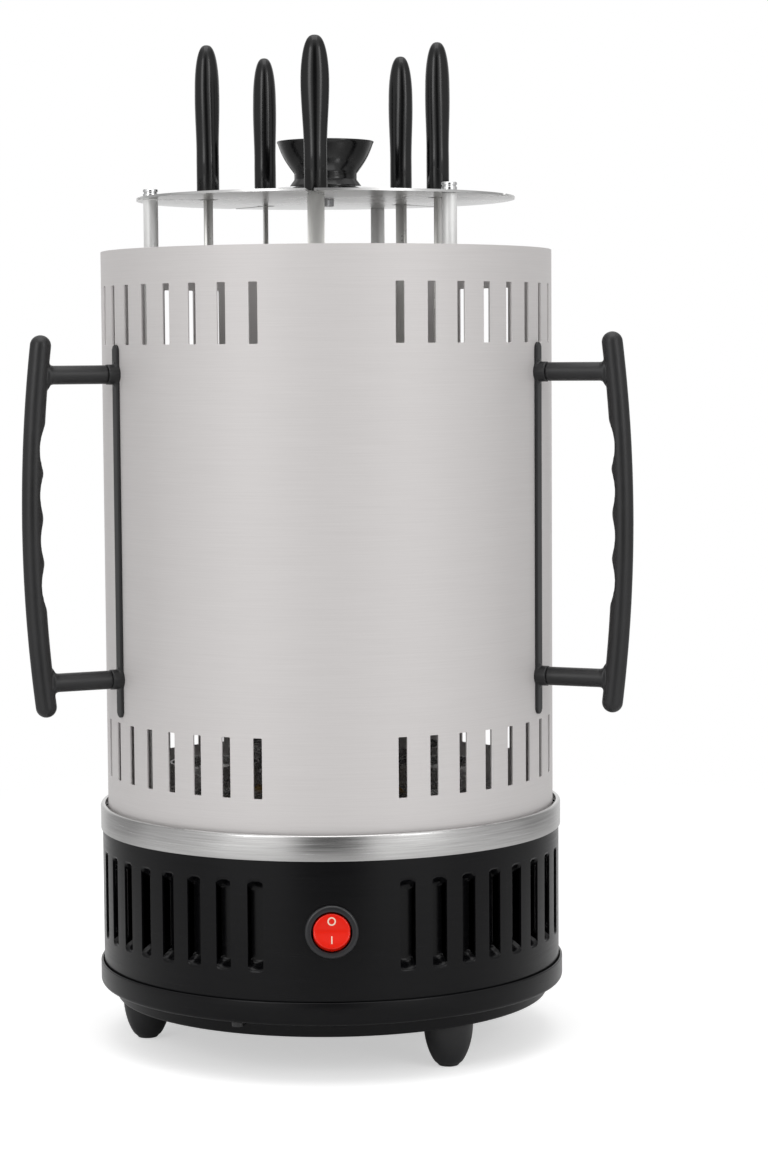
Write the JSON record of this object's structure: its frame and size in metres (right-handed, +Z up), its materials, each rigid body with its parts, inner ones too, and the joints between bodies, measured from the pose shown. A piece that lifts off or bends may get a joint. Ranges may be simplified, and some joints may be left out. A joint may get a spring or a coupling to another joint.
{
  "type": "electric skewer grill",
  "caption": "Upright electric skewer grill: slotted steel casing with side handles on a round black base, geared turning skewers with drip cups, central heater, rocker switch.",
  "frame": {"origin": "centre of the footprint, on the surface that the feet stand on", "axes": "+Z up, the switch on the front (-Y), the handles to the left and right (X)"},
  "size_m": [0.2512, 0.2057, 0.4235],
  "materials": {
    "black_enamel": "satin",
    "brushed_band": "brushed",
    "brushed_casing": "brushed",
    "stainless": "satin",
    "chrome": "polished",
    "zinc_steel": "satin",
    "brass": "satin",
    "white_nylon": "matte",
    "ceramic": "matte",
    "heating_wire": "matte",
    "black_gloss": "gloss",
    "black_plastic": "gloss",
    "handle_black": "satin",
    "foot_black": "satin",
    "red_rocker": "gloss"
  },
  "bodies": {
    "base": {"bottom_pan": "black_enamel", "base_wall": "black_enamel", "trim_band": "brushed_band", "drip_tray": "stainless", "gear_plate": "zinc_steel", "standoffs": "brass", "gear_plate_screws": "zinc_steel", "base_screws": "zinc_steel", "foot_screws": "zinc_steel", "gear_motor": "zinc_steel", "spindle_bushes": "brass", "post_nuts": "chrome", "top_plate": "stainless", "top_dome": "chrome", "top_knob": "black_gloss", "knob_screw": "zinc_steel", "heater_socket": "ceramic", "heater_core": "ceramic", "heater_winding": "heating_wire", "heater_holder": "stainless", "heater_guard": "stainless", "switch_housing": "black_plastic", "cord_inlet_bush": "black_plastic", "terminal_block": "ceramic", "foot_1": "foot_black", "foot_2": "foot_black", "foot_3": "foot_black", "post_1": "stainless", "post_2": "stainless", "post_3": "stainless"},
    "drive": {"drive_gear": "white_nylon", "motor_shaft": "zinc_steel"},
    "casing": {"casing": "brushed_casing", "handle_screws": "zinc_steel", "handle_rail_left": "handle_black", "handle_rail_right": "handle_black", "handle_grip_left": "handle_black", "handle_grip_right": "handle_black"},
    "rocker": {"switch_rocker": "red_rocker"},
    "station_1": {"station_gear_1": "white_nylon"},
    "cup_1": {"drip_cup_1": "stainless"},
    "skewer_1": {"skewer_blade_1": "stainless", "skewer_handle_1": "black_gloss"},
    "station_2": {"station_gear_2": "white_nylon"},
    "cup_2": {"drip_cup_2": "stainless"},
    "skewer_2": {"skewer_blade_2": "stainless", "skewer_handle_2": "black_gloss"},
    "station_3": {"station_gear_3": "white_nylon"},
    "cup_3": {"drip_cup_3": "stainless"},
    "skewer_3": {"skewer_blade_3": "stainless", "skewer_handle_3": "black_gloss"},
    "station_4": {"station_gear_4": "white_nylon"},
    "cup_4": {"drip_cup_4": "stainless"},
    "skewer_4": {"skewer_blade_4": "stainless", "skewer_handle_4": "black_gloss"},
    "station_5": {"station_gear_5": "white_nylon"},
    "cup_5": {"drip_cup_5": "stainless"},
    "skewer_5": {"skewer_blade_5": "stainless", "skewer_handle_5": "black_gloss"}
  },
  "joints": [
    {"name": "drive_gear_spin", "type": "hinge", "parent": "base", "child": "drive", "pos_m": [0, 0, 0.0835], "axis": [0, 0, 1], "continuous": true},
    {"name": "station_1_spin", "type": "hinge", "parent": "base", "child": "station_1", "pos_m": [-0.004, -0.05084, 0.0835], "axis": [0, 0, 1], "continuous": true},
    {"name": "cup_1_lift", "type": "slide", "parent": "station_1", "child": "cup_1", "axis": [0, 0, 1], "range_m": [0, 0.025]},
    {"name": "skewer_1_lift", "type": "slide", "parent": "cup_1", "child": "skewer_1", "axis": [0, 0, 1], "range_m": [0, 0.255]},
    {"name": "station_2_spin", "type": "hinge", "parent": "base", "child": "station_2", "pos_m": [0.04712, -0.01952, 0.0835], "axis": [0, 0, 1], "continuous": true},
    {"name": "cup_2_lift", "type": "slide", "parent": "station_2", "child": "cup_2", "axis": [0, 0, 1], "range_m": [0, 0.025]},
    {"name": "skewer_2_lift", "type": "slide", "parent": "cup_2", "child": "skewer_2", "axis": [0, 0, 1], "range_m": [0, 0.255]},
    {"name": "station_3_spin", "type": "hinge", "parent": "base", "child": "station_3", "pos_m": [0.03312, 0.03878, 0.0835], "axis": [0, 0, 1], "continuous": true},
    {"name": "cup_3_lift", "type": "slide", "parent": "station_3", "child": "cup_3", "axis": [0, 0, 1], "range_m": [0, 0.025]},
    {"name": "skewer_3_lift", "type": "slide", "parent": "cup_3", "child": "skewer_3", "axis": [0, 0, 1], "range_m": [0, 0.255]},
    {"name": "station_4_spin", "type": "hinge", "parent": "base", "child": "station_4", "pos_m": [-0.02665, 0.04349, 0.0835], "axis": [0, 0, 1], "continuous": true},
    {"name": "cup_4_lift", "type": "slide", "parent": "station_4", "child": "cup_4", "axis": [0, 0, 1], "range_m": [0, 0.025]},
    {"name": "skewer_4_lift", "type": "slide", "parent": "cup_4", "child": "skewer_4", "axis": [0, 0, 1], "range_m": [0, 0.255]},
    {"name": "station_5_spin", "type": "hinge", "parent": "base", "child": "station_5", "pos_m": [-0.04959, -0.01191, 0.0835], "axis": [0, 0, 1], "continuous": true},
    {"name": "cup_5_lift", "type": "slide", "parent": "station_5", "child": "cup_5", "axis": [0, 0, 1], "range_m": [0, 0.025]},
    {"name": "skewer_5_lift", "type": "slide", "parent": "cup_5", "child": "skewer_5", "axis": [0, 0, 1], "range_m": [0, 0.255]},
    {"name": "casing_lift", "type": "slide", "parent": "base", "child": "casing", "axis": [0, 0, 1], "range_m": [0, 0.34]},
    {"name": "rocker_press", "type": "hinge", "parent": "base", "child": "rocker", "pos_m": [0, -0.0983, 0.0632], "axis": [1, 0, 0], "range_deg": [0, 24]}
  ],
  "couplings": [
    {"joint": "station_1_spin", "follows": "drive_gear_spin", "ratio": -2.1875},
    {"joint": "station_2_spin", "follows": "drive_gear_spin", "ratio": -2.1875},
    {"joint": "station_3_spin", "follows": "drive_gear_spin", "ratio": -2.1875},
    {"joint": "station_4_spin", "follows": "drive_gear_spin", "ratio": -2.1875},
    {"joint": "station_5_spin", "follows": "drive_gear_spin", "ratio": -2.1875}
  ]
}
